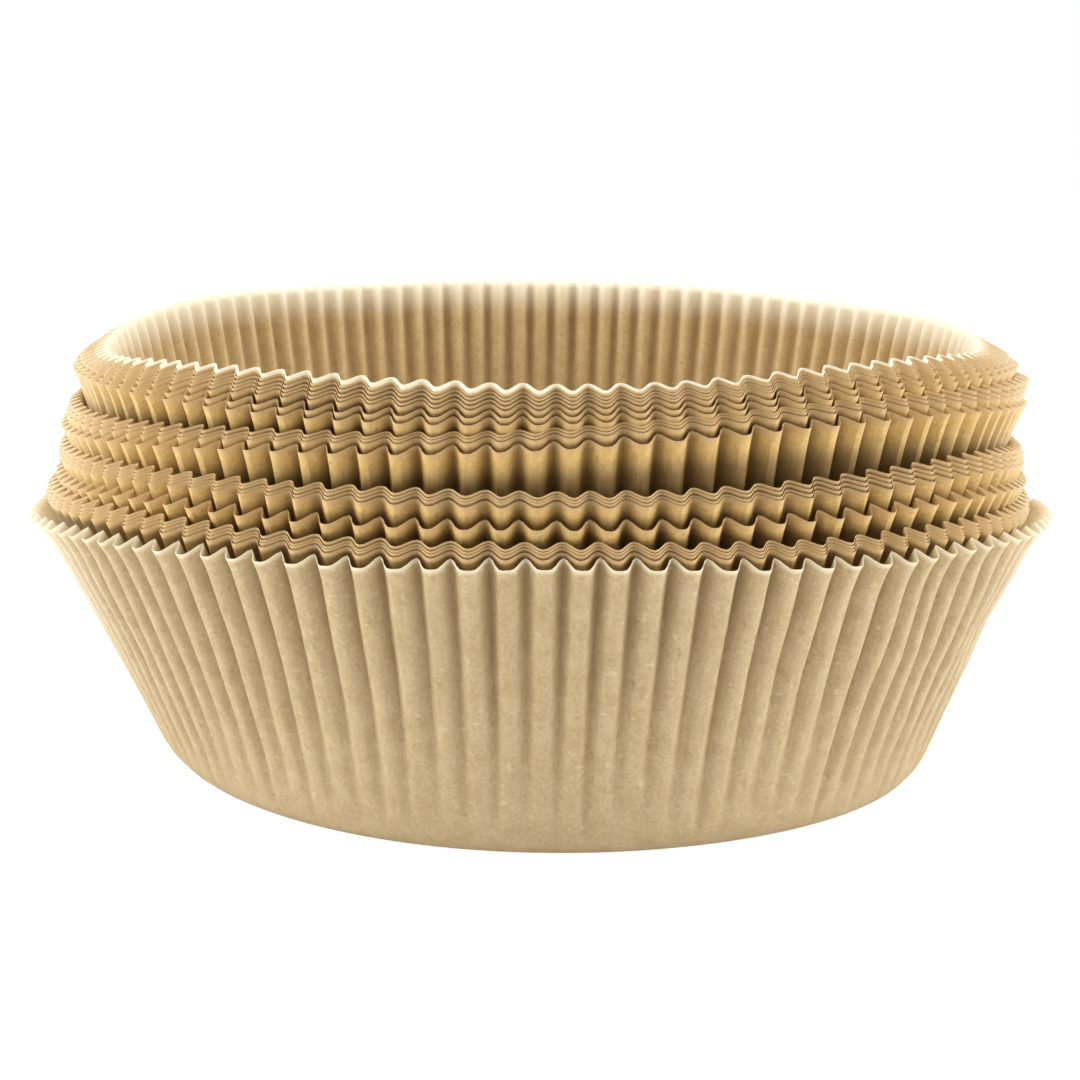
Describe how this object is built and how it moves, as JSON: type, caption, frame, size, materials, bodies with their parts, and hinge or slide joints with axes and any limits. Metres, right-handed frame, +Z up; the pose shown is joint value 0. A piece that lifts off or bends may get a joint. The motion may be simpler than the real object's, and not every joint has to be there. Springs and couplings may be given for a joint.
{
  "type": "stack of parchment cake pan liners",
  "caption": "Nested stack of fluted brown parchment liners for a round cake pan, in tight bundles with scalloped rims, open at the top.",
  "frame": {"origin": "centre of the stack, on the surface that it stands on", "axes": "+Z up through the open mouth, X from side to side, -Y towards the front"},
  "size_m": [0.2516, 0.2568, 0.1007],
  "materials": {
    "outer_paper": "matt unbleached parchment, mottled",
    "bundle_paper": "matt unbleached parchment, mottled",
    "inner_paper": "matt unbleached parchment, mottled"
  },
  "bodies": {
    "root": {"liner_01": "outer_paper", "liner_02": "bundle_paper", "liner_03": "bundle_paper", "liner_04": "bundle_paper", "liner_05": "bundle_paper", "liner_06": "bundle_paper", "liner_07": "bundle_paper", "liner_08": "bundle_paper", "liner_09": "bundle_paper", "liner_10": "bundle_paper", "liner_11": "bundle_paper", "liner_12": "bundle_paper", "liner_13": "bundle_paper", "liner_14": "bundle_paper", "liner_15": "bundle_paper", "liner_16": "bundle_paper", "liner_17": "bundle_paper", "liner_18": "bundle_paper", "liner_19": "bundle_paper", "liner_20": "bundle_paper", "liner_21": "bundle_paper", "liner_22": "inner_paper"}
  },
  "joints": []
}
